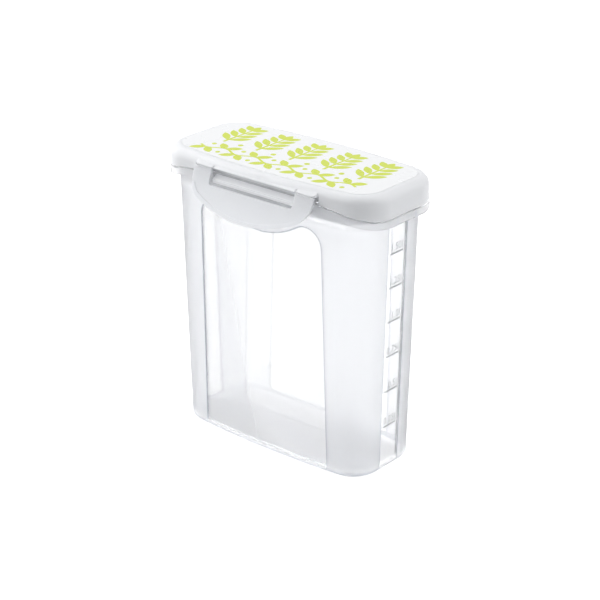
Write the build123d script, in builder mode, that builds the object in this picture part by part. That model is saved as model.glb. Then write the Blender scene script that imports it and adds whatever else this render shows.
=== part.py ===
from build123d import *
import math
import os

os.makedirs("parts", exist_ok=True)

# Body of the container, sizes in millimetres
total_height = 196.0
base_half_length = 77.5
base_half_width = 34.4
body_bow_radius = 664.0
base_corner_radius = 19.0
draft_angle = 1.45
wall = 1.5
base_edge_height = 2.6
base_edge_width = 1.5
base_edge_ease = 1.1
cavity_edge_bevel = 2.4
floor_thickness = 1.6
foot_height = 1.0
foot_width = 4.1
mouth_drop = 7.5

# Grip panels on the long sides and clear windows on the short ends
panel_depth = 0.6
panel_base_half_width = 52.6
panel_top_half_width = 49.8
panel_dip_drop = 38.8
panel_dip_radius = 57.0
panel_shoulder_radius = 12.5
window_depth = 0.4
window_half_width = 9.2

# Lid
end_overhang = 5.2
side_overhang = 3.2
lid_bow_radius = 560.0
lid_corner_radius = 23.0
lid_edge_radius = 7.0
lid_wall = 1.6
lid_ceiling = 2.0
channel_ceiling = 4.0
plug_wall = 1.4
plug_clearance = 0.4
plug_depth = 12.5

# Arched line of the rim, shared by the lid's skirt and the container's flange
arch_drop = 0.5
arch_flat_half_length = 30.0
arch_radius = 200.0
rim_gap = 0.3

# Flange of the container
flange_step = 0.6
flange_band = 5.1
apron_wall = 1.4

# Seal
seal_width = 2.1
seal_gap = 0.2

# In-mould label on the lid
label_margin = 7.3
label_thickness = 0.4
label_rise = 0.05
label_fit = 0.1

# Clips
clip_half_width = 49.1
clip_thickness = 1.5
clip_length = 24.6
clip_bow_radius = 110.0
clip_corner_radius = 13.9
clip_start_angle = 16.7
clip_flare_radius = 68.0
clip_sweep_angle = 27.0
lip_width = 2.0
lip_rise = 0.5
slot_half_width = 34.6
slot_top_rise = 0.5
slot_corner_radius = 2.5
slot_tick_width = 1.2
slot_tick_rise = 1.5

# Hinge between lid and clip, and the straight land on the lid that carries it
hinge_drop = 5.0
hinge_inset = 0.2
knuckle_radius = 0.5
running_gap = 0.3
land_proud = 0.1
land_setback = 0.2
land_face_height = 1.2
land_slope_rise = 3.3
land_depth = 7.8
land_end_bevel = 1.6
notch_rise = 1.3
notch_width = 3.0
notch_depth = 8.0

# Catch lugs on the container
lug_end_clearance = 1.1
lug_nose_height = 2.5
lug_nose_radius = 0.8
lug_wall = 1.4
nose_proud = 0.45
catch_clearance = 1.1

# Worked-out sizes
margin = 10.0
draft_slope = math.tan(math.radians(draft_angle))
floor_top = foot_height + floor_thickness
mouth_height = total_height - mouth_drop
panel_dip_height = total_height - panel_dip_drop
lid_half_length = base_half_length + draft_slope * mouth_height + end_overhang
lid_half_width = base_half_width + draft_slope * mouth_height + side_overhang
plug_low = mouth_height - plug_depth
plug_growth = draft_slope * plug_low - wall - plug_clearance
seal_low = mouth_height + seal_gap
seal_top = total_height - channel_ceiling
arch_height = mouth_height - arch_drop
arch_end = lid_half_length + margin
flange_top = arch_height - rim_gap
flange_low = flange_top - flange_band
hinge_height = total_height - hinge_drop
land_reach = lid_half_width + land_proud
hinge_reach = land_reach + land_setback
clip_low = hinge_height - clip_length
slot_high = hinge_height + slot_top_rise
slot_low = flange_low - catch_clearance
nose_reach = lid_half_width + flange_step + nose_proud
nose_top = flange_low + lug_nose_height
lug_half_length = slot_half_width - lug_end_clearance
lug_root = base_half_width + draft_slope * flange_low - wall / 2


def bowed_outline(half_length, half_width, bow_radius, corner_radius):
    """Plan outline with two bowed long sides, two straight ends and round corners."""
    bow = bow_radius - math.sqrt(bow_radius**2 - half_length**2)
    side = half_width - bow
    with BuildSketch(mode=Mode.PRIVATE) as plan:
        with BuildLine():
            ThreePointArc((-half_length, -side), (0, -half_width), (half_length, -side))
            Line((half_length, -side), (half_length, side))
            ThreePointArc((half_length, side), (0, half_width), (-half_length, side))
            Line((-half_length, side), (-half_length, -side))
        make_face()
        fillet(plan.vertices(), corner_radius)
    return plan.sketch


def body_outline(growth):
    """Outline of the body at its base, grown outwards by an even amount."""
    return bowed_outline(
        base_half_length + growth,
        base_half_width + growth,
        body_bow_radius + growth,
        base_corner_radius + growth,
    )


def lid_outline(growth):
    """Outline of the lid, grown outwards by an even amount."""
    return bowed_outline(
        lid_half_length + growth,
        lid_half_width + growth,
        lid_bow_radius + growth,
        lid_corner_radius + growth,
    )


def below_arch(drop):
    """Side view of everything under the arched rim line, lowered by a drop."""
    top = arch_height - drop
    fall = arch_radius - math.sqrt(arch_radius**2 - (arch_end - arch_flat_half_length) ** 2)
    turn = (arch_end + arch_flat_half_length) / 2
    turn_fall = arch_radius - math.sqrt(arch_radius**2 - (turn - arch_flat_half_length) ** 2)
    with BuildSketch(mode=Mode.PRIVATE) as view:
        with BuildLine():
            Line((-arch_flat_half_length, top), (arch_flat_half_length, top))
            ThreePointArc((arch_flat_half_length, top), (turn, top - turn_fall), (arch_end, top - fall))
            Line((arch_end, top - fall), (arch_end, 0))
            Line((arch_end, 0), (-arch_end, 0))
            Line((-arch_end, 0), (-arch_end, top - fall))
            ThreePointArc((-arch_end, top - fall), (-turn, top - turn_fall), (-arch_flat_half_length, top))
        make_face()
    return view.sketch


def clip_outline(inset):
    """Front view of the half-moon clip, drawn in by an inset."""
    half = clip_half_width - inset
    low = clip_low + inset
    radius = clip_bow_radius - inset
    side = low + radius - math.sqrt(radius**2 - half**2)
    top = hinge_height + margin
    with BuildSketch(mode=Mode.PRIVATE) as view:
        with BuildLine():
            Line((-half, top), (-half, side))
            ThreePointArc((-half, side), (0, low), (half, side))
            Line((half, side), (half, top))
            Line((half, top), (-half, top))
        make_face()
        fillet(view.vertices().group_by(Axis.Y)[0], clip_corner_radius - inset)
    return view.sketch


def drafted_block(growth, low, high):
    """Block of the body's drafted shape between two heights, grown outwards."""
    with BuildPart(mode=Mode.PRIVATE) as block:
        with BuildSketch(Plane.XY.offset(low)):
            add(body_outline(draft_slope * low + growth))
        extrude(amount=high - low)
        sides = block.faces().filter_by(Axis.Z, reverse=True)
        draft(sides, Plane.XY.offset(low), -draft_angle)
    return block.part


# Cavity of the container
with BuildPart() as cavity:
    add(drafted_block(-wall, floor_top, mouth_height + margin))
    chamfer(cavity.faces().sort_by(Axis.Z)[0].edges(), cavity_edge_bevel)

# Layers cut from the outside of the wall for the grip panels and the end windows
with BuildPart() as panel_cut:
    with BuildSketch(Plane.XZ) as panel_view:
        with BuildLine():
            dip_rise = panel_dip_radius - math.sqrt(panel_dip_radius**2 - panel_top_half_width**2)
            shoulder = panel_dip_height + dip_rise
            ThreePointArc(
                (-panel_top_half_width, shoulder),
                (0, panel_dip_height),
                (panel_top_half_width, shoulder),
            )
            Line((panel_top_half_width, shoulder), (panel_base_half_width, -margin))
            Line((panel_base_half_width, -margin), (-panel_base_half_width, -margin))
            Line((-panel_base_half_width, -margin), (-panel_top_half_width, shoulder))
        make_face()
        fillet(panel_view.vertices().group_by(Axis.Z)[-1], panel_shoulder_radius)
    extrude(amount=base_half_width + 2 * margin, both=True)
    add(drafted_block(-panel_depth, -margin, total_height + margin), mode=Mode.SUBTRACT)

with BuildPart() as window_cut:
    with BuildSketch(Plane.YZ):
        with Locations((0, arch_height / 2)):
            Rectangle(2 * window_half_width, arch_height + 2 * margin)
    extrude(amount=base_half_length + 2 * margin, both=True)
    add(drafted_block(-window_depth, -margin, total_height + margin), mode=Mode.SUBTRACT)

# Hollow of the apron under the flange, open below
with BuildPart() as apron_pocket:
    with BuildSketch():
        add(lid_outline(flange_step - apron_wall))
    extrude(amount=total_height)
    with BuildSketch(Plane.XZ):
        add(below_arch(rim_gap + apron_wall))
    extrude(amount=lid_half_width + margin, both=True, mode=Mode.INTERSECT)

# Flange with its apron, parted where the catch lugs stand
with BuildPart() as flange:
    with BuildSketch():
        add(lid_outline(flange_step))
    extrude(amount=total_height)
    with BuildSketch(Plane.XZ):
        add(below_arch(rim_gap))
        add(below_arch(rim_gap + flange_band), mode=Mode.SUBTRACT)
    extrude(amount=lid_half_width + margin, both=True, mode=Mode.INTERSECT)
    add(apron_pocket.part, mode=Mode.SUBTRACT)
    with BuildSketch(Plane.XZ):
        Rectangle(2 * lug_half_length, 2 * total_height)
    extrude(amount=lid_half_width + margin, both=True, mode=Mode.SUBTRACT)


def lug_section(inset):
    """Side view of the front catch lug, drawn in by an inset above its open underside."""
    with BuildSketch(mode=Mode.PRIVATE) as view:
        with BuildLine():
            Polyline(
                (-lug_root, flange_low),
                (-nose_reach + inset, flange_low),
                (-nose_reach + inset, nose_top - inset / 2),
                (-lug_root, arch_height - inset),
                close=True,
            )
        make_face()
    return view.sketch


# Catch lugs that the clips close over, hollow from below
with BuildPart() as lugs:
    with BuildSketch(Plane.YZ) as lug_view:
        add(lug_section(0))
        fillet(lug_view.vertices().group_by(Axis.Y)[0], lug_nose_radius)
    extrude(amount=lug_half_length, both=True)
    with BuildSketch(Plane.YZ):
        add(lug_section(lug_wall))
    extrude(amount=lug_half_length - lug_wall, both=True, mode=Mode.SUBTRACT)
    mirror(about=Plane.XZ)

# Container
with BuildPart() as container:
    add(drafted_block(0, 0, mouth_height))
    underside = container.faces().sort_by(Axis.Z)[0]
    chamfer(underside.edges(), base_edge_width, base_edge_height, reference=underside)
    chamfer(container.faces().sort_by(Axis.Z)[0].edges(), base_edge_ease)
    add(panel_cut.part, mode=Mode.SUBTRACT)
    add(window_cut.part, mode=Mode.SUBTRACT)
    add(flange.part)
    add(lugs.part)
    add(cavity.part, mode=Mode.SUBTRACT)
    with BuildSketch():
        add(body_outline(-base_edge_width - base_edge_ease - foot_width))
    extrude(amount=foot_height, mode=Mode.SUBTRACT)
container.part.label = "container"

# Part of the skirt that the arch, the clips, the slots and the notches take away
with BuildPart() as skirt_cut:
    with BuildSketch(Plane.XZ) as skirt_view:
        add(below_arch(0))
        with BuildLine():
            Polyline(
                (-clip_half_width - notch_width, hinge_height - notch_depth),
                (-clip_half_width - notch_width / 2, hinge_height + notch_rise),
                (-clip_half_width - running_gap, hinge_height + running_gap),
                (clip_half_width + running_gap, hinge_height + running_gap),
                (clip_half_width + notch_width / 2, hinge_height + notch_rise),
                (clip_half_width + notch_width, hinge_height - notch_depth),
                close=True,
            )
        make_face()
        with Locations((0, (hinge_height + slot_high) / 2)):
            Rectangle(2 * slot_half_width, slot_high - hinge_height)
        tick_height = slot_high + slot_tick_rise - hinge_height
        tick_place = slot_half_width - slot_tick_width / 2
        tick_middle = hinge_height + tick_height / 2
        with Locations((-tick_place, tick_middle), (tick_place, tick_middle)):
            Rectangle(slot_tick_width, tick_height)
    extrude(amount=lid_half_width + margin, both=True)
    with BuildSketch():
        add(body_outline(plug_growth + seal_width))
    extrude(amount=total_height, mode=Mode.SUBTRACT)

# Straight land above each clip, which carries its hinge
with BuildPart() as hinge_lands:
    with BuildSketch(Plane.YZ):
        with BuildLine():
            Polyline(
                (-land_reach + land_depth, hinge_height),
                (-land_reach, hinge_height),
                (-land_reach, hinge_height + land_face_height),
                (-land_reach + land_depth, hinge_height + land_face_height + land_slope_rise),
                close=True,
            )
        make_face()
    extrude(amount=clip_half_width, both=True)
    with BuildSketch() as land_plan:
        with Locations((0, -land_reach / 2)):
            Rectangle(2 * clip_half_width, land_reach)
        chamfer(land_plan.vertices().group_by(Axis.Y)[0], land_end_bevel)
    extrude(amount=total_height, mode=Mode.INTERSECT)
    mirror(about=Plane.XZ)

# Seats in which the knuckles of the clips turn
with BuildPart() as knuckle_seats:
    with BuildSketch(Plane.YZ):
        with Locations((-hinge_reach, hinge_height), (hinge_reach, hinge_height)):
            Circle(knuckle_radius + running_gap)
    extrude(amount=clip_half_width + running_gap, both=True)

# Lid
with BuildPart() as lid:
    with BuildSketch(Plane.XY.offset(plug_low)):
        add(lid_outline(0))
    extrude(amount=total_height - plug_low)
    fillet(lid.faces().sort_by(Axis.Z)[-1].edges(), lid_edge_radius)
    add(hinge_lands.part)
    with BuildSketch(Plane.XY.offset(plug_low)):
        add(lid_outline(-lid_wall))
        add(body_outline(plug_growth), mode=Mode.SUBTRACT)
    extrude(amount=seal_top - plug_low, mode=Mode.SUBTRACT)
    with BuildSketch(Plane.XY.offset(plug_low)):
        add(body_outline(plug_growth - plug_wall))
    extrude(amount=total_height - lid_ceiling - plug_low, mode=Mode.SUBTRACT)
    add(skirt_cut.part, mode=Mode.SUBTRACT)
    add(knuckle_seats.part, mode=Mode.SUBTRACT)
    with BuildSketch(Plane.XY.offset(total_height)):
        add(lid_outline(label_fit - label_margin))
    extrude(amount=label_rise - label_thickness, mode=Mode.SUBTRACT)
lid.part.label = "lid"

# In-mould label
with BuildPart() as lid_label:
    with BuildSketch(Plane.XY.offset(total_height + label_rise - label_thickness)):
        add(lid_outline(-label_margin))
    extrude(amount=label_thickness)
lid_label.part.label = "lid_label"

# Seal ring round the plug of the lid
with BuildPart() as seal_ring:
    with BuildSketch(Plane.XY.offset(seal_low)):
        add(body_outline(plug_growth + seal_width))
        add(body_outline(plug_growth), mode=Mode.SUBTRACT)
    extrude(amount=seal_top - seal_low)
seal_ring.part.label = "seal_ring"


def clip_section(rise):
    """Side view of the clip's curved plate, thickened outwards by a rise."""
    start = math.radians(clip_start_angle)
    shift = (clip_thickness - rise) / 2 - hinge_inset
    with BuildSketch(mode=Mode.PRIVATE) as view:
        with BuildLine():
            JernArc(
                (-hinge_reach + shift * math.cos(start), hinge_height - shift * math.sin(start)),
                (-math.sin(start), -math.cos(start)),
                clip_flare_radius - rise / 2,
                -clip_sweep_angle,
            )
        trace(line_width=clip_thickness + rise)
    return view.sketch


# Rolled lip along the lower edge of the clip
with BuildPart() as clip_lip:
    with BuildSketch(Plane.YZ):
        add(clip_section(lip_rise))
    extrude(amount=clip_half_width, both=True)
    with BuildSketch(Plane.XZ):
        add(clip_outline(0))
        add(clip_outline(lip_width), mode=Mode.SUBTRACT)
        with Locations((0, slot_low + total_height / 2)):
            Rectangle(2 * total_height, total_height, mode=Mode.SUBTRACT)
    extrude(amount=lid_half_width + 2 * margin, mode=Mode.INTERSECT)

# Front clip
with BuildPart() as front_clip:
    with BuildSketch(Plane.YZ):
        add(clip_section(0))
        with Locations((-hinge_reach, hinge_height)):
            Circle(knuckle_radius)
    extrude(amount=clip_half_width, both=True)
    with BuildSketch(Plane.XZ):
        add(clip_outline(0))
    extrude(amount=lid_half_width + 2 * margin, mode=Mode.INTERSECT)
    add(clip_lip.part)
    with BuildSketch(Plane.XZ) as slot_view:
        with Locations((0, slot_low + total_height / 2)):
            Rectangle(2 * slot_half_width, total_height)
        fillet(slot_view.vertices().group_by(Axis.Z)[0], slot_corner_radius)
    extrude(amount=lid_half_width + 2 * margin, mode=Mode.SUBTRACT)
front_clip.part.label = "front_clip"

# Rear clip
with BuildPart() as rear_clip:
    mirror(front_clip.part, about=Plane.XZ)
rear_clip.part.label = "rear_clip"

export_step(container.part, "parts/container.step")
export_step(lid.part, "parts/lid.step")
export_step(lid_label.part, "parts/lid_label.step")
export_step(seal_ring.part, "parts/seal_ring.step")
export_step(front_clip.part, "parts/front_clip.step")
export_step(rear_clip.part, "parts/rear_clip.step")
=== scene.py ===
"""Dressed scene of a tall storage container with a white lid and two clips."""

import logging
import math
from dataclasses import dataclass, field
from enum import Enum

import bpy
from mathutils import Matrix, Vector


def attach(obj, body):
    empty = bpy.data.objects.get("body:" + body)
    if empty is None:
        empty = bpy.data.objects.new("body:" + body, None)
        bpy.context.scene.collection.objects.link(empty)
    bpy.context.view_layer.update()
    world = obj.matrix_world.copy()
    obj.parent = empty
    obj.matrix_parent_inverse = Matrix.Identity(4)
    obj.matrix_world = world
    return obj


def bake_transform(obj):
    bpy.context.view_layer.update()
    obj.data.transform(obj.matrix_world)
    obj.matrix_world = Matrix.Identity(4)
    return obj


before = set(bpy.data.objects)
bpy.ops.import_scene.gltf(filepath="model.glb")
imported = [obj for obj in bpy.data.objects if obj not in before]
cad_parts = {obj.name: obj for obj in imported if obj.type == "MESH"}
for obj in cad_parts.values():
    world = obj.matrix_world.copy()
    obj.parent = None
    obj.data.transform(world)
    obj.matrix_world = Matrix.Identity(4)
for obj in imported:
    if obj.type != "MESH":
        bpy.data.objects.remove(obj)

log = logging.getLogger("storage_container")

Rgb = tuple[float, float, float]
Rgba = tuple[float, float, float, float]
Point = tuple[float, float]
Corner = tuple[float, float, float]
Face = tuple[int, ...]

MM: float = 0.001
WHITE: Rgba = (1.0, 1.0, 1.0, 1.0)
EVEN_RADIUS: Corner = (1.0, 1.0, 1.0)


class Side(Enum):
    """The two long sides, by the sign of their Y."""

    FRONT = -1
    REAR = 1


class Lean(Enum):
    """The way a grain or leaf of the print leans, by the sign of its X."""

    LEFT = -1
    RIGHT = 1


class Layer(Enum):
    """Layers of the print, each slightly lower than the one before."""

    STEM = 0
    LEFT = 1
    RIGHT = 2
    TIP = 3


Shape = tuple[Layer, list[Point]]


def rgba(colour: Rgb) -> Rgba:
    """Opaque four-channel form of a colour."""
    return (colour[0], colour[1], colour[2], 1.0)


class NodeSheet:
    """Places nodes in one node tree and links them."""

    def __init__(self, tree: bpy.types.NodeTree) -> None:
        """Keep the tree that the nodes go to.

        Args:
            tree: node tree of a material, a world or a group.
        """
        self.tree = tree

    def node(self, kind: str, **settings: object) -> bpy.types.Node:
        """Add one node.

        Args:
            kind: Blender's name of the node type.
            settings: attributes to set on it.

        Returns:
            The new node.
        """
        made = self.tree.nodes.new(kind)
        for name, value in settings.items():
            setattr(made, name, value)
        return made

    def feed(self, socket: bpy.types.NodeSocket, source: object) -> None:
        """Link a socket to another, or set its own value.

        Args:
            socket: the input to fill.
            source: an output socket, a number or a tuple.
        """
        if isinstance(source, bpy.types.NodeSocket):
            self.tree.links.new(source, socket)
        else:
            socket.default_value = source

    def math(
        self, operation: str, first: object, second: object = 0.0, third: object = 0.0
    ) -> bpy.types.NodeSocket:
        """Add a math node and return its value.

        Args:
            operation: Blender's name of the operation.
            first: first operand, a socket or a number.
            second: second operand.
            third: third operand, for the operations that take one.

        Returns:
            The value's output socket.
        """
        made = self.node("ShaderNodeMath", operation=operation)
        self.feed(made.inputs[0], first)
        self.feed(made.inputs[1], second)
        self.feed(made.inputs[2], third)
        return made.outputs[0]

    def product(self, first: object, second: object) -> bpy.types.NodeSocket:
        """Multiply two values."""
        return self.math("MULTIPLY", first, second)

    def length(self, first: object, second: object) -> bpy.types.NodeSocket:
        """Distance from the origin to a point given by two values."""
        squares = self.math("ADD", self.math("POWER", first, 2.0), self.math("POWER", second, 2.0))
        return self.math("SQRT", squares)

    def ramp(
        self, value: object, low: float, high: float, to_low: float, to_high: float
    ) -> bpy.types.NodeSocket:
        """Map a value smoothly from one span to another.

        Args:
            value: the value to map.
            low: start of the source span.
            high: end of the source span.
            to_low: value at the start.
            to_high: value at the end.

        Returns:
            The mapped value's output socket.
        """
        made = self.node("ShaderNodeMapRange", interpolation_type="SMOOTHSTEP")
        for place, entry in enumerate((value, low, high, to_low, to_high)):
            self.feed(made.inputs[place], entry)
        return made.outputs[0]

    def blend(self, factor: object, first: object, second: object) -> bpy.types.NodeSocket:
        """Mix two colours.

        Args:
            factor: 0 gives the first, 1 the second.
            first: first colour.
            second: second colour.

        Returns:
            The mixed colour's output socket.
        """
        made = self.node("ShaderNodeMix", data_type="RGBA")
        self.feed(made.inputs["Factor"], factor)
        self.feed(made.inputs[6], first)
        self.feed(made.inputs[7], second)
        return made.outputs[2]


@dataclass
class EffectLibrary:
    """Shader groups of the finishes, each built once."""

    grain_detail: float = 2.0
    flow_detail: float = 3.0
    flow_roughness: float = 0.6
    flow_stretch: Corner = (1.0, 1.0, 0.25)
    noise_low: float = 0.3
    noise_high: float = 0.7
    built: dict[str, bpy.types.NodeTree] = field(default_factory=dict)

    def open_group(
        self, name: str, inputs: tuple[str, ...], outputs: tuple[str, ...]
    ) -> tuple[NodeSheet, bpy.types.Node, bpy.types.Node]:
        """Open an empty group whose sockets are plain numbers.

        Args:
            name: the group's name.
            inputs: names of its inputs.
            outputs: names of its outputs.

        Returns:
            The sheet, the group's input node and its output node.
        """
        tree = bpy.data.node_groups.new(name, "ShaderNodeTree")
        for way, labels in (("INPUT", inputs), ("OUTPUT", outputs)):
            for label in labels:
                tree.interface.new_socket(name=label, in_out=way, socket_type="NodeSocketFloat")
        sheet = NodeSheet(tree)
        self.built[name] = tree
        return sheet, sheet.node("NodeGroupInput"), sheet.node("NodeGroupOutput")

    def moulded_skin(self) -> bpy.types.NodeTree:
        """Fine spark-eroded texture of a mould, with slow flow clouds.

        Returns:
            A group with Height, Tone and Gloss outputs.
        """
        name = "moulded_skin"
        if name in self.built:
            return self.built[name]
        sheet, start, end = self.open_group(name, ("Grain Scale", "Flow Scale"), ("Height", "Tone", "Gloss"))
        place = sheet.node("ShaderNodeTexCoord").outputs["Object"]
        grain = sheet.node("ShaderNodeTexNoise")
        grain.inputs["Detail"].default_value = self.grain_detail
        sheet.feed(grain.inputs["Vector"], place)
        sheet.feed(grain.inputs["Scale"], start.outputs["Grain Scale"])
        stretch = sheet.node("ShaderNodeVectorMath", operation="MULTIPLY")
        sheet.feed(stretch.inputs[0], place)
        stretch.inputs[1].default_value = self.flow_stretch
        flow = sheet.node("ShaderNodeTexNoise")
        flow.inputs["Detail"].default_value = self.flow_detail
        flow.inputs["Roughness"].default_value = self.flow_roughness
        sheet.feed(flow.inputs["Vector"], stretch.outputs[0])
        sheet.feed(flow.inputs["Scale"], start.outputs["Flow Scale"])
        low, high = self.noise_low, self.noise_high
        sheet.feed(end.inputs["Height"], grain.outputs["Fac"])
        sheet.feed(end.inputs["Tone"], sheet.ramp(flow.outputs["Fac"], low, high, 0.0, 1.0))
        sheet.feed(end.inputs["Gloss"], sheet.ramp(grain.outputs["Fac"], low, high, 0.0, 1.0))
        return sheet.tree

    def place(self, sheet: NodeSheet, tree: bpy.types.NodeTree, **values: float) -> bpy.types.Node:
        """Put a group in a material with its own values.

        Args:
            sheet: the material's sheet.
            tree: the group.
            values: input values, with _ for a space.

        Returns:
            The group node.
        """
        made = sheet.node("ShaderNodeGroup", node_tree=tree)
        for label, value in values.items():
            made.inputs[label.replace("_", " ")].default_value = value
        return made


effects = EffectLibrary()


def open_material(name: str) -> tuple[bpy.types.Material, NodeSheet, bpy.types.Node]:
    """Start a node material.

    Args:
        name: the material's name.

    Returns:
        The material, its sheet and its Principled node.
    """
    material = bpy.data.materials.new(name)
    material.use_nodes = True
    sheet = NodeSheet(material.node_tree)
    return material, sheet, material.node_tree.nodes["Principled BSDF"]


def add_bump(
    sheet: NodeSheet, shader: bpy.types.Node, height: bpy.types.NodeSocket, strength: float, depth: float
) -> None:
    """Drive the shader's normal from a height.

    Args:
        sheet: the material's sheet.
        shader: the Principled node.
        height: the height's output socket.
        strength: strength of the bump.
        depth: height in metres of the full range.
    """
    bump = sheet.node("ShaderNodeBump")
    bump.inputs["Strength"].default_value = strength
    bump.inputs["Distance"].default_value = depth
    sheet.feed(bump.inputs["Height"], height)
    sheet.feed(shader.inputs["Normal"], bump.outputs["Normal"])


def add_scatter(shader: bpy.types.Node, weight: float, depth: float) -> None:
    """Let light scatter under the surface.

    Args:
        shader: the Principled node.
        weight: share of the light that scatters.
        depth: how far it goes, in metres.
    """
    shader.inputs["Subsurface Weight"].default_value = weight
    shader.inputs["Subsurface Radius"].default_value = EVEN_RADIUS
    shader.inputs["Subsurface Scale"].default_value = depth


@dataclass(frozen=True)
class SatinPlastic:
    """Opaque moulded plastic with a satin skin."""

    name: str
    colour: Rgb
    shade: Rgb
    roughness: float = 0.36
    roughness_spread: float = 0.06
    scatter: float = 0.0
    scatter_depth: float = 4.0 * MM
    ior: float = 1.49
    grain_scale: float = 2600.0
    flow_scale: float = 18.0
    bump_strength: float = 0.12
    bump_depth: float = 0.02 * MM

    def make(self) -> bpy.types.Material:
        """Build the material.

        Returns:
            The material.
        """
        material, sheet, shader = open_material(self.name)
        skin = effects.place(
            sheet, effects.moulded_skin(), Grain_Scale=self.grain_scale, Flow_Scale=self.flow_scale
        )
        tone = sheet.blend(skin.outputs["Tone"], rgba(self.colour), rgba(self.shade))
        sheet.feed(shader.inputs["Base Color"], tone)
        low = self.roughness - self.roughness_spread
        high = self.roughness + self.roughness_spread
        sheet.feed(shader.inputs["Roughness"], sheet.ramp(skin.outputs["Gloss"], 0.0, 1.0, low, high))
        shader.inputs["IOR"].default_value = self.ior
        add_scatter(shader, self.scatter, self.scatter_depth)
        add_bump(sheet, shader, skin.outputs["Height"], self.bump_strength, self.bump_depth)
        return material


@dataclass(frozen=True)
class ClearZones:
    """Where the container's wall is polished clear and where lines of painted shade run along its steps and
    base edge, in metres.
    """

    base_half_width: float = 52.6 * MM
    top_half_width: float = 49.8 * MM
    base_height: float = -10.0 * MM
    dip_height: float = 157.2 * MM
    dip_radius: float = 57.0 * MM
    shoulder_radius: float = 12.5 * MM
    shoulder_rounds: int = 40
    window_half_width: float = 9.2 * MM
    window_reach: float = 70.0 * MM
    window_fade: float = 2.0 * MM
    panel_reach: float = 30.0 * MM
    panel_fade: float = 1.5 * MM
    sharpness: float = 0.25 * MM
    # Painted shade along the steps around the panels and windows: full within the core, fading out by the
    # reach.
    edge_shade_core: float = 0.28 * MM
    edge_shade_reach: float = 0.68 * MM
    foot_start: float = 2.2 * MM
    foot_stop: float = 3.2 * MM
    # Painted shade along the base edge, on upright faces low on the wall.
    base_shade_start: float = 2.2 * MM
    base_shade_stop: float = 4.6 * MM
    base_shade_depth: float = 0.75
    steep: float = 0.93
    level: float = 0.99
    neck_start: float = 170.0 * MM
    neck_stop: float = 178.0 * MM

    def group(self) -> bpy.types.NodeTree:
        """Build the group that tells the zones of the wall apart.

        Returns:
            A group with Clear, Window and Neck outputs and a fourth output that masks the painted shade
            along the panel and window steps and the base edge.
        """
        sheet, _, end = effects.open_group("clear_zones", (), ("Clear", "Window", "Rim", "Neck"))
        axes = sheet.node("ShaderNodeSeparateXYZ")
        sheet.feed(axes.inputs[0], sheet.node("ShaderNodeTexCoord").outputs["Object"])
        along = sheet.math("ABSOLUTE", axes.outputs["X"])
        across = sheet.math("ABSOLUTE", axes.outputs["Y"])
        height = axes.outputs["Z"]

        depth = self._panel_depth(sheet, along, height)
        strip = sheet.math("SUBTRACT", self.window_half_width, across)
        on_side = sheet.ramp(across, self.panel_reach, self.panel_reach + self.panel_fade, 0.0, 1.0)
        on_end = sheet.ramp(along, self.window_reach, self.window_reach + self.window_fade, 0.0, 1.0)
        above_foot = sheet.ramp(height, self.foot_start, self.foot_stop, 0.0, 1.0)
        neck = sheet.ramp(height, self.neck_start, self.neck_stop, 0.0, 1.0)
        below_neck = sheet.math("SUBTRACT", 1.0, neck)

        panel = sheet.product(self._inside(sheet, depth), on_side)
        window = sheet.product(self._inside(sheet, strip), on_end)
        clear = sheet.product(sheet.math("MAXIMUM", panel, window), above_foot)
        # Painted shade: narrow bands along the panel and window steps.
        panel_edge_shade = sheet.product(self._shade_band(sheet, depth), on_side)
        window_edge_shade = sheet.product(self._shade_band(sheet, strip), on_end)
        step_shade = sheet.product(sheet.math("MAXIMUM", panel_edge_shade, window_edge_shade), above_foot)
        sheet.feed(end.inputs["Clear"], sheet.product(clear, below_neck))
        sheet.feed(end.inputs["Window"], sheet.product(sheet.product(window, above_foot), below_neck))
        # Painted shade of the steps and of the base edge, in one mask.
        sheet.feed(end.inputs["Rim"], sheet.math("MAXIMUM", step_shade, self._base_shade(sheet, height)))
        sheet.feed(end.inputs["Neck"], neck)
        return sheet.tree

    def _panel_depth(
        self, sheet: NodeSheet, along: bpy.types.NodeSocket, height: bpy.types.NodeSocket
    ) -> bpy.types.NodeSocket:
        """Distance inwards from the outline of the grip panel.

        Args:
            sheet: the group's sheet.
            along: the point's distance from the middle along X.
            height: the point's Z.

        Returns:
            The distance's output socket, below zero outside the panel.
        """
        arc_height = self.dip_height + self.dip_radius
        shoulder = arc_height - math.sqrt(self.dip_radius**2 - self.top_half_width**2)
        lean = (self.base_half_width - self.top_half_width) / (shoulder - self.base_height)
        climb = sheet.math("SUBTRACT", height, self.base_height)
        edge = sheet.math("MULTIPLY_ADD", climb, -lean, self.base_half_width)
        inside_edge = sheet.math("SUBTRACT", edge, along)
        spread = sheet.length(along, sheet.math("SUBTRACT", height, arc_height))
        inside_arc = sheet.math("SUBTRACT", spread, self.dip_radius)
        plain = sheet.math("MINIMUM", inside_edge, inside_arc)

        turn = self._turn(arc_height, lean)
        from_x = sheet.math("SUBTRACT", along, turn[0])
        from_z = sheet.math("SUBTRACT", height, turn[1])
        rounded = sheet.math("SUBTRACT", self.shoulder_radius, sheet.length(from_x, from_z))
        side_normal = Vector((1.0, lean)).normalized()
        arc_normal = Vector((-turn[0], arc_height - turn[1])).normalized()
        cross = side_normal.x * arc_normal.y - side_normal.y * arc_normal.x
        first = sheet.math(
            "ADD",
            sheet.product(from_x, arc_normal.y / cross),
            sheet.product(from_z, -arc_normal.x / cross),
        )
        second = sheet.math(
            "ADD",
            sheet.product(from_x, -side_normal.y / cross),
            sheet.product(from_z, side_normal.x / cross),
        )
        in_turn = sheet.math("GREATER_THAN", sheet.math("MINIMUM", first, second), 0.0)
        corner = sheet.product(in_turn, rounded)
        straight = sheet.product(sheet.math("SUBTRACT", 1.0, in_turn), plain)
        return sheet.math("ADD", corner, straight)

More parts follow.
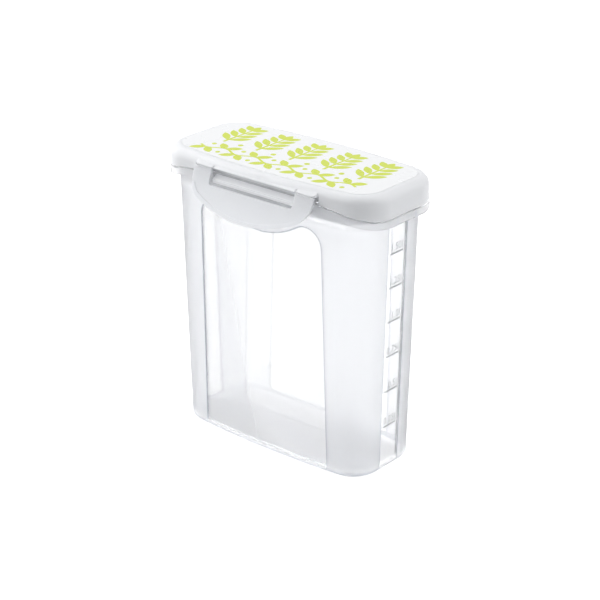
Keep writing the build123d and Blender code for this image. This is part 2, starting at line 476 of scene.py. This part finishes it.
    def _inside(self, sheet: NodeSheet, depth: bpy.types.NodeSocket) -> bpy.types.NodeSocket:
        """Mask that is 1 where a depth is above zero."""
        return sheet.ramp(depth, -self.sharpness, self.sharpness, 0.0, 1.0)

    def _shade_band(self, sheet: NodeSheet, depth: bpy.types.NodeSocket) -> bpy.types.NodeSocket:
        """Mask of painted shade in a narrow band along the line where a depth is zero."""
        return sheet.ramp(sheet.math("ABSOLUTE", depth), self.edge_shade_core, self.edge_shade_reach, 1.0, 0.0)

    def _base_shade(self, sheet: NodeSheet, height: bpy.types.NodeSocket) -> bpy.types.NodeSocket:
        """Painted shade along the lower edge, where the wall turns into the floor.

        Args:
            sheet: the group's sheet.
            height: the point's Z.

        Returns:
            The line's output socket.
        """
        normal = sheet.node("ShaderNodeSeparateXYZ")
        sheet.feed(normal.inputs[0], sheet.node("ShaderNodeNewGeometry").outputs["Normal"])
        tilt = sheet.math("ABSOLUTE", normal.outputs["Z"])
        upright = sheet.ramp(tilt, self.steep, self.level, 1.0, 0.0)
        low = sheet.ramp(height, self.base_shade_start, self.base_shade_stop, self.base_shade_depth, 0.0)
        return sheet.product(upright, low)

    def _turn(self, arc_height: float, lean: float) -> Point:
        """Centre of the rounding between the panel's side and its dipped top.

        Args:
            arc_height: height of the dip's centre.
            lean: sideways run of the panel's side for each unit of height.

        Returns:
            The centre's X and Z.
        """
        reach = self.dip_radius + self.shoulder_radius
        drop = self.shoulder_radius * math.sqrt(1.0 + lean**2)
        height = self.dip_height
        for _ in range(self.shoulder_rounds):
            half = self.base_half_width - lean * (height - self.base_height) - drop
            height = arc_height - math.sqrt(reach**2 - half**2)
        return (half, height)


@dataclass(frozen=True)
class MilkyPlastic:
    """Translucent container plastic, frosted with polished clear zones, with painted shade lines along the
    steps and the base edge.
    """

    name: str = "milky_plastic"
    frosted: Rgb = (0.94, 0.945, 0.96)
    cloudy: Rgb = (0.925, 0.932, 0.95)
    clear: Rgb = (0.9, 0.904, 0.914)
    # Grey of the painted shade lines along the panel and window steps and the base edge.
    rim: Rgb = (0.47, 0.49, 0.54)
    frosted_roughness: float = 0.42
    frosted_spread: float = 0.04
    clear_roughness: float = 0.1
    transmission: float = 0.8
    ior: float = 1.3
    clear_cover: float = 0.55
    window_cover: float = 0.2
    edge_shade_cover: float = 0.9
    neck_cover: float = 0.62
    glow: float = 0.6
    glow_depth: float = 3.0 * MM
    grain_scale: float = 1800.0
    flow_scale: float = 14.0
    bump_strength: float = 0.1
    bump_depth: float = 0.03 * MM
    zones: ClearZones = field(default_factory=ClearZones)

    def make(self) -> bpy.types.Material:
        """Build the material.

        Returns:
            The material.
        """
        material, sheet, shader = open_material(self.name)
        skin = effects.place(
            sheet, effects.moulded_skin(), Grain_Scale=self.grain_scale, Flow_Scale=self.flow_scale
        )
        zones = sheet.node("ShaderNodeGroup", node_tree=self.zones.group())
        clear, rim = zones.outputs["Clear"], zones.outputs["Rim"]
        milk = sheet.blend(skin.outputs["Tone"], rgba(self.frosted), rgba(self.cloudy))
        walls = sheet.blend(clear, milk, rgba(self.clear))
        # Painted shade: the step and base-edge lines darken the wall's colour.
        sheet.feed(shader.inputs["Base Color"], sheet.blend(rim, walls, rgba(self.rim)))

        polished = sheet.ramp(zones.outputs["Window"], 0.0, 1.0, self.clear_cover, self.window_cover)
        open_wall = sheet.ramp(clear, 0.0, 1.0, 1.0, polished)
        open_neck = sheet.ramp(zones.outputs["Neck"], 0.0, 1.0, 1.0, self.neck_cover)
        cover = sheet.math("MINIMUM", open_wall, open_neck)
        # The painted shade lines are drawn nearly opaque.
        drawn_edge_shade = sheet.product(rim, self.edge_shade_cover)
        sheet.feed(shader.inputs["Alpha"], sheet.math("MAXIMUM", cover, drawn_edge_shade))

        low = self.frosted_roughness - self.frosted_spread
        high = self.frosted_roughness + self.frosted_spread
        rough = sheet.node("ShaderNodeMix", data_type="FLOAT")
        sheet.feed(rough.inputs["Factor"], clear)
        sheet.feed(rough.inputs[2], sheet.ramp(skin.outputs["Gloss"], 0.0, 1.0, low, high))
        sheet.feed(rough.inputs[3], self.clear_roughness)
        sheet.feed(shader.inputs["Roughness"], rough.outputs[0])
        shader.inputs["Transmission Weight"].default_value = self.transmission
        shader.inputs["IOR"].default_value = self.ior
        add_scatter(shader, self.glow, self.glow_depth)
        texture = sheet.product(skin.outputs["Height"], sheet.math("SUBTRACT", 1.0, clear))
        add_bump(sheet, shader, texture, self.bump_strength, self.bump_depth)
        return material


@dataclass(frozen=True)
class PrintedFilm:
    """Glossy white label film moulded into the lid."""

    name: str = "label_film"
    colour: Rgb = (0.95, 0.955, 0.96)
    shade: Rgb = (0.94, 0.945, 0.955)
    smoothest: float = 0.24
    roughest: float = 0.32
    grain_scale: float = 900.0
    flow_scale: float = 30.0
    bump_strength: float = 0.05
    bump_depth: float = 0.02 * MM

    def make(self) -> bpy.types.Material:
        """Build the material.

        Returns:
            The material.
        """
        material, sheet, shader = open_material(self.name)
        skin = effects.place(
            sheet, effects.moulded_skin(), Grain_Scale=self.grain_scale, Flow_Scale=self.flow_scale
        )
        tone = skin.outputs["Tone"]
        sheet.feed(shader.inputs["Base Color"], sheet.blend(tone, rgba(self.colour), rgba(self.shade)))
        sheet.feed(shader.inputs["Roughness"], sheet.ramp(tone, 0.0, 1.0, self.smoothest, self.roughest))
        add_bump(sheet, shader, skin.outputs["Height"], self.bump_strength, self.bump_depth)
        return material


@dataclass(frozen=True)
class PrintInk:
    """Flat printing ink with slight changes of density."""

    name: str
    colour: Rgb
    thin: Rgb
    roughness: float = 0.35
    roughness_spread: float = 0.04
    grain_scale: float = 3000.0
    flow_scale: float = 60.0

    def make(self) -> bpy.types.Material:
        """Build the material.

        Returns:
            The material.
        """
        material, sheet, shader = open_material(self.name)
        skin = effects.place(
            sheet, effects.moulded_skin(), Grain_Scale=self.grain_scale, Flow_Scale=self.flow_scale
        )
        density = sheet.blend(skin.outputs["Gloss"], rgba(self.colour), rgba(self.thin))
        sheet.feed(shader.inputs["Base Color"], density)
        low = self.roughness - self.roughness_spread
        high = self.roughness + self.roughness_spread
        sheet.feed(shader.inputs["Roughness"], sheet.ramp(skin.outputs["Tone"], 0.0, 1.0, low, high))
        return material


def mesh_piece(
    name: str, points: list[Corner], faces: list[Face], material: bpy.types.Material
) -> bpy.types.Object:
    """Make an object from points and faces.

    Args:
        name: the object's name.
        points: corners in metres.
        faces: corner numbers of each face.
        material: the finish.

    Returns:
        The new object.
    """
    mesh = bpy.data.meshes.new(name)
    mesh.from_pydata(points, [], faces)
    mesh.validate()
    mesh.materials.append(material)
    piece = bpy.data.objects.new(name, mesh)
    bpy.context.scene.collection.objects.link(piece)
    return piece


def wall_faces(count: int) -> list[Face]:
    """Faces between a loop of corners and the same number of corners after it."""
    return [(i, (i + 1) % count, (i + 1) % count + count, i + count) for i in range(count)]


def dress(node: str, material: bpy.types.Material) -> None:
    """Give a CAD node its finish in every material slot.

    Args:
        node: the node's name.
        material: the finish.
    """
    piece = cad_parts[node]
    if not piece.material_slots:
        piece.data.materials.append(material)
    for entry in piece.material_slots:
        entry.material = material
    log.info("dressed %s with %s", node, material.name)


@dataclass
class LugFace:
    """Whitish face of a catch lug, where the plastic is thick; sizes in millimetres."""

    side: Side
    half_length: float = 33.2
    root_y: float = 38.272
    root_z: float = 188.0
    start_y: float = 39.4
    nose_y: float = 43.4215
    nose_top: float = 185.1
    nose_low: float = 182.6
    nose_radius: float = 0.8
    proud: float = 0.08
    sunk: float = 0.3
    arc_steps: int = 6

    def _section(self, growth: float) -> list[Point]:
        """Side view of the lug's slope and nose, grown outwards.

        Args:
            growth: distance from the lug's own surface.

        Returns:
            Distances from the middle and heights, from the slope's start to the nose's underside.
        """
        slope = Vector((self.root_z - self.nose_top, self.nose_y - self.root_y)).normalized()
        start_z = self.root_z - slope.x / slope.y * (self.start_y - self.root_y)
        start = (self.start_y + growth * slope.x, start_z + growth * slope.y)
        middle_y = self.nose_y - self.nose_radius
        high = self.nose_top - self.nose_radius * (1.0 - slope.x) / slope.y
        low = self.nose_low + self.nose_radius
        reach = self.nose_radius + growth
        lean = math.atan2(slope.y, slope.x)
        turns = [(high, lean * (1.0 - step / self.arc_steps)) for step in range(self.arc_steps + 1)]
        turns += [(low, -math.pi / 2 * step / self.arc_steps) for step in range(self.arc_steps + 1)]
        return [start] + [(middle_y + reach * math.cos(a), z + reach * math.sin(a)) for z, a in turns]

    def build(self, material: bpy.types.Material) -> None:
        """Build the face as a thin shell over the lug.

        Args:
            material: its finish.
        """
        outer, inner = self._section(self.proud), self._section(-self.sunk)
        loop = outer + inner[::-1]
        count = len(loop)
        ends = (-self.half_length, self.half_length)
        points = [(x * MM, self.side.value * y * MM, z * MM) for x in ends for y, z in loop]
        faces = wall_faces(count)
        for i in range(len(outer) - 1):
            back = count - 1 - i
            faces.append((i, back, back - 1, i + 1))
            faces.append((i + count, i + 1 + count, back - 1 + count, back + count))
        if self.side is Side.REAR:
            faces = [face[::-1] for face in faces]
        piece = mesh_piece(f"{self.side.name.lower()}_lug_face", points, faces, material)
        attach(piece, "container")
        log.info("lug face %s", piece.name)


@dataclass
class Container:
    """Translucent body with its raised volume scale; sizes in millimetres."""

    scale_marks: tuple[tuple[float, str], ...] = (
        (31.2, "0.25l"),
        (56.5, "0.5l"),
        (81.3, "0.75l"),
        (105.4, "1.0l"),
        (128.9, "1.25l"),
        (151.9, "1.50l"),
    )
    base_half_length: float = 77.5
    draft_angle: float = 1.45
    window_depth: float = 0.4
    relief: float = 0.05
    bar_half_length: float = 6.6
    bar_height: float = 1.1
    bar_cut: float = 0.35
    bar_taper: float = 0.985
    figure_height: float = 4.9
    figure_lift: float = 1.2
    figure_inset: float = 0.6
    figure_em: float = 1.45
    figure_squeeze: float = 0.86
    figure_spacing: float = 1.05
    figure_thinning: float = 0.01
    figure_detail: int = 4
    finish: MilkyPlastic = field(default_factory=MilkyPlastic)
    ink: PrintInk = field(
        default_factory=lambda: PrintInk("scale_relief", (0.4, 0.415, 0.425), (0.45, 0.465, 0.475), 0.5)
    )
    lug_plastic: SatinPlastic = field(
        default_factory=lambda: SatinPlastic("lug_plastic", (0.95, 0.956, 0.968), (0.94, 0.947, 0.96), 0.38)
    )

    @property
    def draft_slope(self) -> float:
        """Outward run of the drafted walls for each unit of height."""
        return math.tan(math.radians(self.draft_angle))

    def face_at(self, height: float) -> float:
        """X of the window's outer face at a height."""
        return self.base_half_length + self.draft_slope * height - self.window_depth

    def build(self) -> None:
        """Dress the body, put the scale on its end and whiten its lugs."""
        dress("container", self.finish.make())
        ink = self.ink.make()
        for height, words in self.scale_marks:
            label = "scale_" + words.rstrip("l").replace(".", "_")
            self._bar(label + "_bar", height, ink)
            self._figure(label + "_figure", height, words, ink)
            log.info("scale mark %s at %.1f mm", words, height)
        milk = self.lug_plastic.make()
        for side in Side:
            LugFace(side).build(milk)

    def _bar(self, name: str, height: float, ink: bpy.types.Material) -> None:
        """Raised bar of one mark, with chamfered ends.

        Args:
            name: the piece's name.
            height: height of the bar's middle.
            ink: its finish.
        """
        half, cut = self.bar_half_length, self.bar_cut
        low, high = height - self.bar_height / 2, height + self.bar_height / 2
        loop = [
            (-half + cut, low), (half - cut, low), (half, low + cut), (half, high - cut),
            (half - cut, high), (-half + cut, high), (-half, high - cut), (-half, low + cut),
        ]
        count = len(loop)
        points = [((self.face_at(z) - self.relief) * MM, y * MM, z * MM) for y, z in loop]
        points += [((self.face_at(z) + self.relief) * MM, y * MM * self.bar_taper, z * MM) for y, z in loop]
        faces = [tuple(reversed(range(count))), tuple(range(count, 2 * count))] + wall_faces(count)
        bar = mesh_piece(name, points, faces, ink)
        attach(bar, "container")

    def _figure(self, name: str, height: float, words: str, ink: bpy.types.Material) -> None:
        """Raised numerals over one bar, leaned along the drafted wall.

        Args:
            name: the piece's name.
            height: height of the bar's middle.
            words: the numerals.
            ink: their finish.
        """
        text = bpy.data.curves.new(name, "FONT")
        text.body = words
        text.align_x = "RIGHT"
        text.size = self.figure_height * MM * self.figure_em
        text.extrude = self.relief * MM
        text.offset = -self.figure_thinning * MM
        text.resolution_u = self.figure_detail
        text.space_character = self.figure_spacing
        text.materials.append(ink)
        figure = bpy.data.objects.new(name, text)
        bpy.context.scene.collection.objects.link(figure)
        foot = height + self.bar_height / 2 + self.figure_lift
        middle = foot + self.figure_height / 2
        end = self.bar_half_length - self.figure_inset
        figure.rotation_euler = (math.radians(90.0), 0.0, math.radians(90.0))
        figure.scale = (self.figure_squeeze, 1.0, 1.0)
        figure.location = (self.face_at(middle) * MM, end * MM, foot * MM)
        bpy.context.view_layer.update()
        upright = figure.evaluated_get(bpy.context.evaluated_depsgraph_get())
        shape = bpy.data.meshes.new_from_object(upright)
        shape.transform(figure.matrix_world)
        for corner in shape.vertices:
            corner.co.x += self.draft_slope * (corner.co.z - middle * MM)
        bpy.data.objects.remove(figure)
        piece = bpy.data.objects.new(name, shape)
        bpy.context.scene.collection.objects.link(piece)
        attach(piece, "container")


@dataclass
class LabelPrint:
    """Lime print on the label, ears of grain over a leafy vine; sizes in millimetres."""

    top: float = 196.06
    depth: float = 0.15
    layer_step: float = 0.002
    ear_places: tuple[float, ...] = (-56.0, -28.0, 0.0, 28.0, 56.0)
    ear_foot: float = -8.0
    ear_height: float = 37.0
    crown_share: float = 0.6
    grain_start: float = 4.5
    grain_step: float = 7.7
    grain_pairs: int = 4
    grain_length: float = 15.0
    grain_shrink: float = 0.09
    grain_width: float = 5.3
    grain_lean: float = 48.0
    grain_gap: float = 0.6
    stem_foot_half: float = 1.1
    stem_top_half: float = 0.6
    stem_reach: float = 0.9
    dot_rise: float = 1.0
    dot_radius: float = 1.9
    vine_line: float = -20.5
    vine_half_length: float = 64.0
    vine_wave: float = 25.6
    vine_swing: float = 2.4
    vine_width: float = 1.7
    vine_steps: int = 12
    leaf_size: Point = (11.5, 5.6)
    leaf_spread: float = 4.4
    leaf_rise: float = 5.6
    leaf_lean: float = 50.0
    berry_drop: float = 5.4
    berry_radius: float = 1.7
    oval_fullness: float = 0.8
    oval_steps: int = 14
    disc_steps: int = 24
    ink: PrintInk = field(
        default_factory=lambda: PrintInk("lime_ink", (0.62, 0.72, 0.02), (0.65, 0.75, 0.03), 0.3)
    )

    def build(self) -> None:
        """Build the motifs as one piece that rides on the lid."""
        ink = self.ink.make()
        shapes: list[Shape] = []
        for middle in self.ear_places:
            shapes += self._ear(middle)
        for before, after in zip(self.ear_places, self.ear_places[1:]):
            dot = self._disc((before + after) / 2, self.ear_foot + self.dot_rise, self.dot_radius)
            shapes.append((Layer.STEM, dot))
        shapes += self._vine()
        points: list[Corner] = []
        faces: list[Face] = []
        for layer, loop in shapes:
            base, size = len(points), len(loop)
            top = self.top - self.layer_step * layer.value
            points += [(x * MM, y * MM, top * MM) for x, y in loop]
            points += [(x * MM, y * MM, (top - self.depth) * MM) for x, y in loop]
            faces.append(tuple(range(base, base + size)))
            faces.append(tuple(reversed(range(base + size, base + 2 * size))))
            faces += [tuple(base + i for i in face[::-1]) for face in wall_faces(size)]
        piece = mesh_piece("label_print", points, faces, ink)
        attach(piece, "lid")
        log.info("label print with %d motifs", len(shapes))

    def _ear(self, x: float) -> list[Shape]:
        """One upright ear of grain, its foot towards the front.

        Args:
            x: place of its stem along X.

        Returns:
            The outlines of its grains and stem, each with its layer.
        """
        top = self.ear_foot + self.ear_height
        crown = self.grain_length * self.crown_share
        shapes = [(Layer.TIP, self._oval(x, top - crown / 2, (crown, self.grain_width), 90.0))]
        turn = math.radians(self.grain_lean)
        for step in range(self.grain_pairs):
            foot = self.ear_foot + self.grain_start + self.grain_step * step
            reach = self.grain_length * (1.0 - self.grain_shrink * step)
            for lean in Lean:
                place = x + lean.value * (self.grain_gap + reach / 2 * math.sin(turn))
                middle = foot + reach / 2 * math.cos(turn)
                angle = 90.0 - lean.value * self.grain_lean
                grain = self._oval(place, middle, (reach, self.grain_width), angle)
                shapes.append((Layer[lean.name], grain))
        shapes.append((Layer.STEM, self._stem(x, self.ear_foot, top - crown * self.stem_reach)))
        return shapes

    def _vine(self) -> list[Shape]:
        """Waved stem along X with a pair of leaves and a berry at each crest.

        Returns:
            The outlines of the stem, leaves and berries, each with its layer.
        """
        half_waves = round(4 * self.vine_half_length / self.vine_wave)
        shapes: list[Shape] = []
        for count in range(half_waves):
            start = -self.vine_half_length + self.vine_wave / 2 * count
            crest = start + self.vine_wave / 4
            way = 1 if math.sin(math.tau * crest / self.vine_wave) > 0 else -1
            shapes.append((Layer.STEM, self._wave(start)))
            for lean in Lean:
                place = crest + lean.value * self.leaf_spread
                angle = 90.0 - lean.value * way * self.leaf_lean
                leaf = self._oval(place, self.vine_line + way * self.leaf_rise, self.leaf_size, angle)
                shapes.append((Layer[lean.name], leaf))
            berry = self._disc(crest, self.vine_line - way * self.berry_drop, self.berry_radius)
            shapes.append((Layer.TIP, berry))
        return shapes

    def _wave(self, start: float) -> list[Point]:
        """Half a wave of the vine's stem.

        Args:
            start: X where it begins.

        Returns:
            The outline.
        """
        upper: list[Point] = []
        lower: list[Point] = []
        for step in range(self.vine_steps + 1):
            x = start + self.vine_wave / 2 * step / self.vine_steps
            phase = math.tau * x / self.vine_wave
            y = self.vine_line + self.vine_swing * math.sin(phase)
            slope = self.vine_swing * math.tau / self.vine_wave * math.cos(phase)
            half = self.vine_width / 2 / math.hypot(1.0, slope)
            upper.append((x - slope * half, y + half))
            lower.append((x + slope * half, y - half))
        return lower + upper[::-1]

    def _oval(self, x: float, y: float, size: Point, angle: float) -> list[Point]:
        """Plump pointed oval.

        Args:
            x: middle along X.
            y: middle along Y.
            size: its length and width.
            angle: its turn in degrees.

        Returns:
            The outline.
        """
        length, width = size
        cos, sin = math.cos(math.radians(angle)), math.sin(math.radians(angle))
        loop: list[Point] = []
        for way in (1, -1):
            for step in range(self.oval_steps):
                share = step / self.oval_steps if way > 0 else 1.0 - step / self.oval_steps
                along = (share - 0.5) * length
                across = way * width / 2 * math.sin(math.pi * share) ** self.oval_fullness
                loop.append((x + along * cos - across * sin, y + along * sin + across * cos))
        return loop[::-1]

    def _disc(self, x: float, y: float, radius: float) -> list[Point]:
        """Round dot."""
        turns = [math.tau * i / self.disc_steps for i in range(self.disc_steps)]
        return [(x + radius * math.cos(turn), y + radius * math.sin(turn)) for turn in turns]

    def _stem(self, x: float, start: float, stop: float) -> list[Point]:
        """Straight stem along Y, thinner at its top."""
        foot, top = self.stem_foot_half, self.stem_top_half
        return [(x - foot, start), (x + foot, start), (x + top, stop), (x - top, stop)]


@dataclass
class FilmHinge:
    """Thin moulded webs between the lid's land and a clip; sizes in millimetres."""

    side: Side
    axis_y: float = 42.671
    axis_z: float = 191.0
    inner_x: float = 35.0
    outer_x: float = 47.3
    thickness: float = 0.35
    reach: float = 0.75
    setback: float = 0.12
    dent: float = 0.16
    land_lean: float = 0.1
    clip_slope: float = 0.3
    clip_lean: float = 0.45
    bend_rise: float = 0.5
    bend_drop: float = 0.3
    rows: int = 10
    columns: int = 12

    def build(self, material: bpy.types.Material) -> None:
        """Build both webs of the clip and bend them between lid and clip.

        Args:
            material: the clip's finish.
        """
        clip = f"{self.side.name.lower()}_clip"
        for way, word in ((-1, "left"), (1, "right")):
            piece = self._web(f"{clip}_web_{word}", way, material)
            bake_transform(piece)
            log.info("film hinge %s", piece.name)

    def _web(self, name: str, way: int, material: bpy.types.Material) -> bpy.types.Object:
        """One web as a bowed strip.

        Args:
            name: the piece's name.
            way: -1 or 1, the end along X.
            material: its finish.

        Returns:
            The strip.
        """
        points: list[Corner] = []
        for layer in (0.0, self.thickness):
            for row in range(self.rows + 1):
                share = row / self.rows
                height = self.axis_z + self.reach - 2 * self.reach * share
                out = self._out_at(height, share) - layer
                for column in range(self.columns + 1):
                    x = self.inner_x + (self.outer_x - self.inner_x) * column / self.columns
                    points.append((way * x * MM, self.side.value * out * MM, height * MM))
        faces = self._faces()
        if way * self.side.value < 0:
            faces = [face[::-1] for face in faces]
        piece = mesh_piece(name, points, faces, material)
        for face in piece.data.polygons:
            face.use_smooth = True
        return piece

    def _out_at(self, height: float, share: float) -> float:
        """Distance of the web's outer skin from the middle.

        Args:
            height: the height.
            share: how far down the web that is, from 0 to 1.

        Returns:
            The distance.
        """
        lean = self.land_lean
        if height < self.axis_z:
            lean -= self.clip_slope * (height - self.axis_z - self.reach)
        return self.axis_y - self.setback - self.dent * math.sin(math.pi * share) + min(lean, self.clip_lean)

    def _faces(self) -> list[Face]:
        """Both skins of the strip and its four edges.

        Returns:
            The faces, for an outer grid of corners with the inner one after it.
        """
        wide = self.columns + 1
        size = wide * (self.rows + 1)
        faces: list[Face] = []
        for row in range(self.rows):
            for column in range(self.columns):
                a = row * wide + column
                faces.append((a, a + 1, a + 1 + wide, a + wide))
                faces.append((size + a, size + a + wide, size + a + 1 + wide, size + a + 1))
        for column in range(self.columns):
            faces.append((column, size + column, size + column + 1, column + 1))
            last = self.rows * wide + column
            faces.append((last, last + 1, size + last + 1, size + last))
        for row in range(self.rows):
            a = row * wide
            faces.append((a, a + wide, size + a + wide, size + a))
            b = a + self.columns
            faces.append((b, size + b, size + b + wide, b + wide))
        return faces


@dataclass
class Lid:
    """White lid with its label, seal, clips and film hinges."""

    plastic: SatinPlastic = field(
        default_factory=lambda: SatinPlastic(
            "lid_plastic", (0.915, 0.924, 0.948), (0.903, 0.914, 0.94), 0.34, scatter=0.5
        )
    )
    # The clips are the lid's white plastic, painted darker as painted shade for their outward-leaning faces.
    clip_plastic: SatinPlastic = field(
        default_factory=lambda: SatinPlastic(
            "clip_plastic", (0.86, 0.872, 0.9), (0.846, 0.86, 0.89), 0.32, scatter=0.5
        )
    )
    seal_rubber: SatinPlastic = field(
        default_factory=lambda: SatinPlastic("seal_rubber", (0.78, 0.79, 0.8), (0.74, 0.75, 0.77), 0.6)
    )
    film: PrintedFilm = field(default_factory=PrintedFilm)
    motifs: LabelPrint = field(default_factory=LabelPrint)

    def build(self) -> None:
        """Dress the lid's nodes and build what it carries."""
        dress("lid", self.plastic.make())
        clip = self.clip_plastic.make()
        dress("front_clip", clip)
        dress("rear_clip", clip)
        dress("lid_label", self.film.make())
        dress("seal_ring", self.seal_rubber.make())
        self.motifs.build()
        for side in Side:
            FilmHinge(side).build(clip)


@dataclass(frozen=True)
class Softbox:
    """Square area lamp; place and size in metres, power in watts."""

    name: str
    place: Corner
    size: float
    power: float

    def hang(self, aim: Corner) -> None:
        """Hang the lamp in the scene.

        Args:
            aim: the point that it shines at.
        """
        lamp = bpy.data.lights.new(self.name, "AREA")
        lamp.size = self.size
        lamp.energy = self.power
        carrier = bpy.data.objects.new(self.name, lamp)
        carrier.location = self.place
        carrier.rotation_euler = (Vector(aim) - Vector(self.place)).to_track_quat("-Z", "Y").to_euler()
        bpy.context.scene.collection.objects.link(carrier)


@dataclass
class Studio:
    """Pale floor, soft light and the camera."""

    azimuth: float = 40.3
    elevation: float = 23.5
    distance: float = 1.213
    look_at: Corner = (0.00235, 0.0, 0.0973)
    lens: float = 111.0
    sensor: float = 36.0
    near: float = 0.05
    far: float = 50.0
    daylight: Rgb = (0.95, 0.97, 1.0)
    world_strength: float = 0.38
    through_strength: float = 0.92
    floor_half: float = 6.0
    floor_roughness: float = 0.9
    floor_glow: float = 0.74
    floor_glow_through: float = 1.03
    floor_tone: float = 0.7
    floor_tone_through: float = 0.5
    lamp_aim: Corner = (0.0, 0.0, 0.1)
    lamps: tuple[Softbox, ...] = (
        Softbox("top_softbox", (-0.4, 0.5, 1.9), 1.6, 5.0),
        Softbox("left_softbox", (-1.75, -0.6, 1.1), 2.2, 36.0),
        Softbox("right_softbox", (1.4, 0.9, 1.25), 2.2, 19.5),
    )

    def build(self) -> None:
        """Build the world, the floor, the lamps and the camera."""
        self._world()
        self._floor()
        for lamp in self.lamps:
            lamp.hang(self.lamp_aim)
        self._camera()

    def _world(self) -> None:
        """White where it is seen, softer for the light on the object."""
        world = bpy.data.worlds.new("studio")
        bpy.context.scene.world = world
        world.use_nodes = True
        sheet = NodeSheet(world.node_tree)
        background = world.node_tree.nodes["Background"]
        seen = self._seen(sheet)
        sheet.feed(background.inputs["Color"], sheet.blend(seen, rgba(self.daylight), WHITE))
        strength = sheet.ramp(seen, 0.0, 1.0, self.world_strength, 1.0)
        through = sheet.node("ShaderNodeLightPath").outputs["Is Transmission Ray"]
        dimmer = sheet.ramp(through, 0.0, 1.0, 1.0, self.through_strength)
        sheet.feed(background.inputs["Strength"], sheet.product(strength, dimmer))

    def _seen(self, sheet: NodeSheet) -> bpy.types.NodeSocket:
        """Tell rays that show a surface from rays that only light one.

        Args:
            sheet: the sheet of the world or the floor.

        Returns:
            1 for a camera, gloss or transmission ray.
        """
        path = sheet.node("ShaderNodeLightPath")
        direct = sheet.math("MAXIMUM", path.outputs["Is Camera Ray"], path.outputs["Is Transmission Ray"])
        return sheet.math("MAXIMUM", direct, path.outputs["Is Glossy Ray"])

    def _floor(self) -> None:
        """Wide pale floor that keeps the object's shadow."""
        material, sheet, shader = open_material("studio_floor")
        shader.inputs["Roughness"].default_value = self.floor_roughness
        shader.inputs["Specular IOR Level"].default_value = 0.0
        shader.inputs["Emission Color"].default_value = WHITE
        through = sheet.node("ShaderNodeLightPath").outputs["Is Transmission Ray"]
        tone = sheet.ramp(through, 0.0, 1.0, self.floor_tone, self.floor_tone_through)
        sheet.feed(shader.inputs["Base Color"], tone)
        direct = sheet.product(self._seen(sheet), self.floor_glow)
        extra = sheet.product(through, self.floor_glow_through - self.floor_glow)
        sheet.feed(shader.inputs["Emission Strength"], sheet.math("ADD", direct, extra))
        half = self.floor_half
        floor = mesh_piece(
            "studio_floor",
            [(-half, -half, 0.0), (half, -half, 0.0), (half, half, 0.0), (-half, half, 0.0)],
            [(0, 1, 2, 3)],
            material,
        )

    def _camera(self) -> None:
        """Camera at the photographed angle."""
        data = bpy.data.cameras.new("camera")
        data.lens = self.lens
        data.sensor_width = self.sensor
        data.clip_start = self.near
        data.clip_end = self.far
        camera = bpy.data.objects.new("camera", data)
        turn, rise = math.radians(self.azimuth), math.radians(self.elevation)
        back = Vector(
            (math.sin(turn) * math.cos(rise), -math.cos(turn) * math.cos(rise), math.sin(rise))
        )
        camera.location = Vector(self.look_at) + back * self.distance
        camera.rotation_euler = (-back).to_track_quat("-Z", "Y").to_euler()
        bpy.context.scene.collection.objects.link(camera)
        bpy.context.scene.camera = camera


def main() -> None:
    """Build the sub-assemblies in order and log what they build."""
    logging.basicConfig(level=logging.INFO, format="%(name)s: %(message)s")
    bpy.context.scene.view_settings.view_transform = "Standard"
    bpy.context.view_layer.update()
    Container().build()
    Lid().build()
    Studio().build()
    log.info("all pieces built")


if __name__ == "__main__":
    main()
